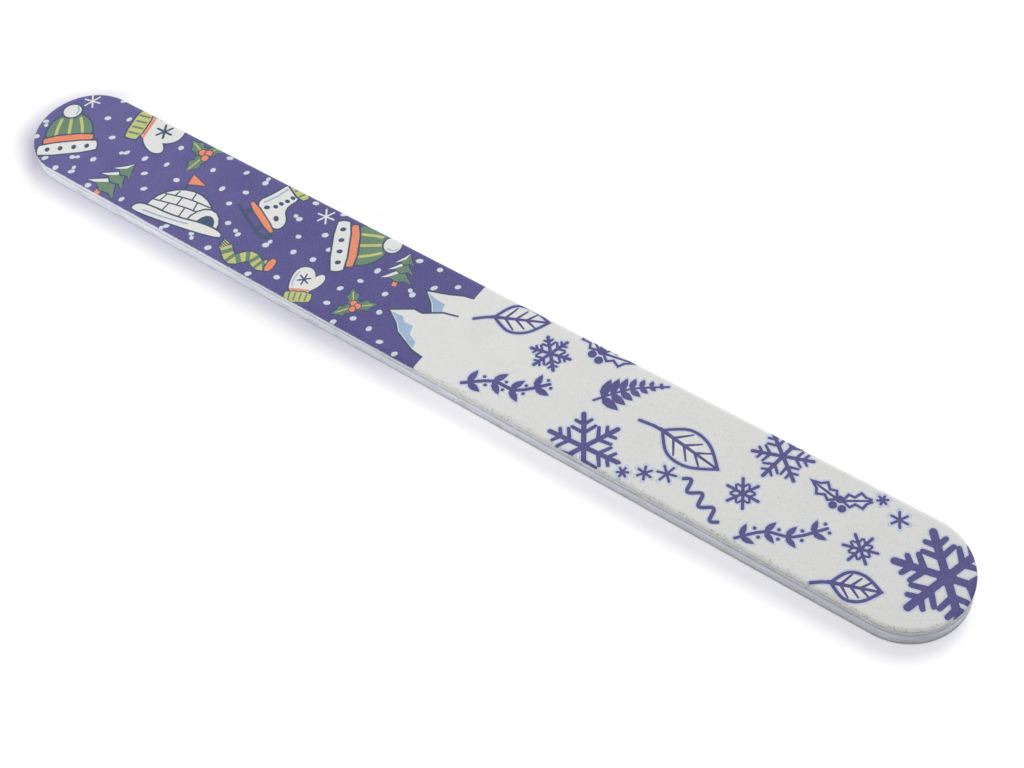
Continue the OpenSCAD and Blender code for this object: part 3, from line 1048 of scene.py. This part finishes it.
# Painted shadow tail: the lift dips between 1 and 7 mm off the near side, a soft painted fringe to the
# shadow.
painted_shadow_tail = within(
    tree, graded(tree, leftward, 0.0, 1.0, -PAINTED_TAIL_AT_RIGHT, -PAINTED_TAIL_AT_LEFT),
    (reach, half_width + 1 * MM, half_width + 3 * MM), (reach, half_width + 7 * MM, half_width + 3 * MM),
    (deep, *PAINTED_TAIL_NEARER), (across, *PAINTED_TAIL_ENDS))
for more in (lift_past_painted_shade, way_off, painted_shadow_tail):
    level = reckon(tree, "ADD", level, more)
lift = reckon(tree, "MULTIPLY", seen_rays(tree), level)
tree.links.new(mixed(tree, leftward, TINT_AT_RIGHT, TINT_AT_LEFT), shader.inputs["Emission Color"])
tree.links.new(lift, shader.inputs["Emission Strength"])
floor.data.materials.append(floor_white)

SKY_LEVEL = 0.35
SKY_BEHIND = 0.8
world = bpy.data.worlds.new("sky")
world.use_nodes = True
bpy.context.scene.world = world
tree = world.node_tree
background = tree.nodes["Background"]
background.inputs["Color"].default_value = (1.0, 1.0, 1.0, 1)
way = add(tree, "ShaderNodeTexCoord").outputs["Object"]
behind = add(tree, "ShaderNodeSeparateXYZ", {0: way}).outputs["Y"]
glow = graded(tree, behind, 0.0, 1.0, SKY_LEVEL, SKY_LEVEL + SKY_BEHIND)
level = add(tree, "ShaderNodeMix", {0: seen_rays(tree), 2: glow, 3: 1.0})
tree.links.new(level.outputs[0], background.inputs["Strength"])

for name, place, aim, size, watts, spread in (
        ("soft_lamp_behind", (0.0, 0.30, 0.35), (0.0, 0.0, 0.0), 0.30, 0.80, 180),
        ("soft_lamp_left", (-0.22, -0.12, 0.14), (-0.05, 0.0, 0.0), 0.20, 0.08, 180),
        ("soft_lamp_in_front", (-0.10, -0.17, 0.06), (-0.045, 0.0, 0.0), 0.12, 0.041, 90)):
    lamp = bpy.data.lights.new(name, "AREA")
    lamp.shape = "DISK"
    lamp.size = size
    lamp.energy = watts
    lamp.spread = math.radians(spread)
    stand = set_up(name, lamp)
    stand.location = place
    stand.rotation_euler = (Vector(aim) - Vector(place)).to_track_quat("-Z", "Y").to_euler()
    stand.visible_camera = False

AZIMUTH, ELEVATION, ROLL = math.radians(43.82), math.radians(54.80), math.radians(-9.75)
camera = bpy.data.cameras.new("camera")
camera.lens = 57.87
camera.sensor_width = 36.0
camera.clip_start = 0.01
stand = set_up("camera", camera)
stand.location = (0.114712, -0.107117, 0.206913)
turned = Matrix.Rotation(AZIMUTH, 3, "Z") @ Matrix.Rotation(math.pi / 2 - ELEVATION, 3, "X")
stand.rotation_euler = (turned @ Matrix.Rotation(ROLL, 3, "Z")).to_euler()
bpy.context.scene.camera = stand
bpy.context.scene.view_settings.view_transform = "Standard"
